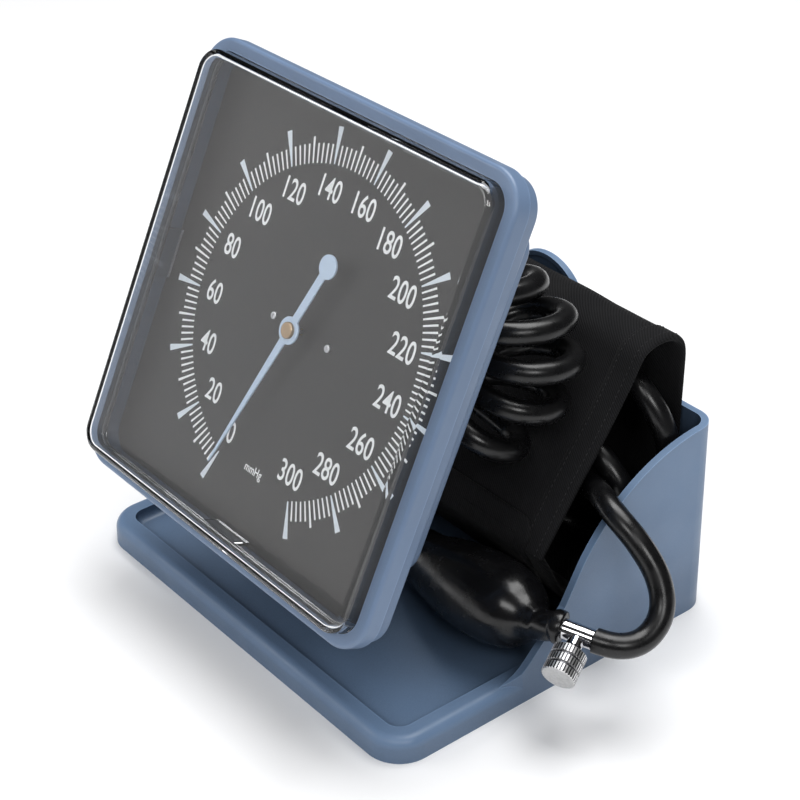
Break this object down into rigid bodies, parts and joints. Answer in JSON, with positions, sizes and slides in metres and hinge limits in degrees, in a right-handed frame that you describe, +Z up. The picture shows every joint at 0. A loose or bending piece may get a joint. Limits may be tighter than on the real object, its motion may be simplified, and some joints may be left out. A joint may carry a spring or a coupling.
{
  "type": "desk aneroid sphygmomanometer",
  "caption": "Desk blood pressure gauge: square tilting dial head on a tray stand with a cuff bin, coiled hose, folded cuff, squeeze bulb and release valve.",
  "frame": {"origin": "on the table, at the centre of the stand's footprint", "axes": "+Z up, +X to the right and +Y to the back seen from the dial's side"},
  "size_m": [0.2235, 0.1705, 0.2028],
  "materials": {
    "stand_plastic": "moulded ABS, satin",
    "black_rubber": "smooth, slightly glossy",
    "foot_rubber": "matt",
    "steel": "machined",
    "plated": "nickel plated",
    "brass": "turned",
    "clear_lens": "moulded clear acrylic",
    "dial_black": "matt printed",
    "pointer_white": "satin",
    "twill": "woven nylon",
    "valve_black": "moulded",
    "copper_capsule": "rolled sheet"
  },
  "bodies": {
    "stand": {"stand_tray": "stand_plastic", "rubber_feet": "foot_rubber", "support_arm": "stand_plastic", "arm_screws": "steel", "friction_washers": "foot_rubber", "gauge_hose_upper": "black_rubber", "gauge_hose_coil": "black_rubber", "gauge_hose_lower": "black_rubber", "cuff": "twill", "bladder": "black_rubber", "bulb_hose": "black_rubber", "bulb": "black_rubber", "inlet_valve": "plated", "release_valve_body": "plated"},
    "head": {"rear_case": "stand_plastic", "front_bezel": "stand_plastic", "lens": "clear_lens", "lens_gasket": "foot_rubber", "dial_plate": "dial_black", "dial_screws": "steel", "movement_front_plate": "brass", "movement_rear_plate": "brass", "movement_pillars": "brass", "movement_base": "brass", "base_screws": "steel", "capsule": "copper_capsule", "hairspring": "steel", "hairspring_stud": "brass", "gauge_nipple": "brass", "gauge_ferrule": "valve_black", "pivot_bolt": "steel", "pivot_nut": "steel"},
    "sector": {"sector_gear": "brass", "sector_arbor": "steel"},
    "pointer": {"pointer": "pointer_white", "pointer_boss": "brass", "pinion": "steel"},
    "rocker": {"rocker_lever": "brass"},
    "push_pin": {"push_pin": "steel"},
    "needle": {"release_needle": "plated"},
    "knob": {"release_knob": "plated"},
    "ball": {"inlet_ball": "steel"}
  },
  "joints": [
    {"name": "head_tilt", "type": "hinge", "parent": "stand", "child": "head", "pos_m": [0, -0.01567, 0.09771], "axis": [1, 0, 0], "range_deg": [0, 20]},
    {"name": "sector_turn", "type": "hinge", "parent": "head", "child": "sector", "pos_m": [0, -0.04897, 0.09375], "axis": [0, -0.9087, 0.4174], "range_deg": [0, 32.17], "stiffness_Nm_per_rad": 0.02, "springref_deg": -11.46},
    {"name": "pointer_turn", "type": "hinge", "parent": "head", "child": "pointer", "pos_m": [0, -0.04876, 0.12391], "axis": [0, 0.9087, -0.4174], "range_deg": [0, 321.7]},
    {"name": "rocker_turn", "type": "hinge", "parent": "head", "child": "rocker", "pos_m": [0, -0.04193, 0.09326], "axis": [1, 0, 0], "range_deg": [0, 23.73]},
    {"name": "push_pin_lift", "type": "slide", "parent": "head", "child": "push_pin", "axis": [0, -0.9087, 0.4174], "range_m": [0, 0.00121]},
    {"name": "knob_turn", "type": "hinge", "parent": "needle", "child": "knob", "pos_m": [0.11336, -0.01765, 0.03316], "axis": [0.3564, -0.8647, -0.354], "range_deg": [0, 720]},
    {"name": "needle_slide", "type": "slide", "parent": "stand", "child": "needle", "axis": [0.3564, -0.8647, -0.354], "range_m": [0, 0.0015]},
    {"name": "ball_lift", "type": "slide", "parent": "stand", "child": "ball", "axis": [0.9669, -0.1189, 0.2257], "range_m": [0, 0.001]}
  ],
  "couplings": [
    {"joint": "pointer_turn", "follows": "sector_turn", "ratio": 10},
    {"joint": "rocker_turn", "follows": "sector_turn", "ratio": 0.7376},
    {"joint": "push_pin_lift", "follows": "sector_turn", "m_per_rad": 0.002158},
    {"joint": "needle_slide", "follows": "knob_turn", "m_per_rad": 0.0001193}
  ]
}
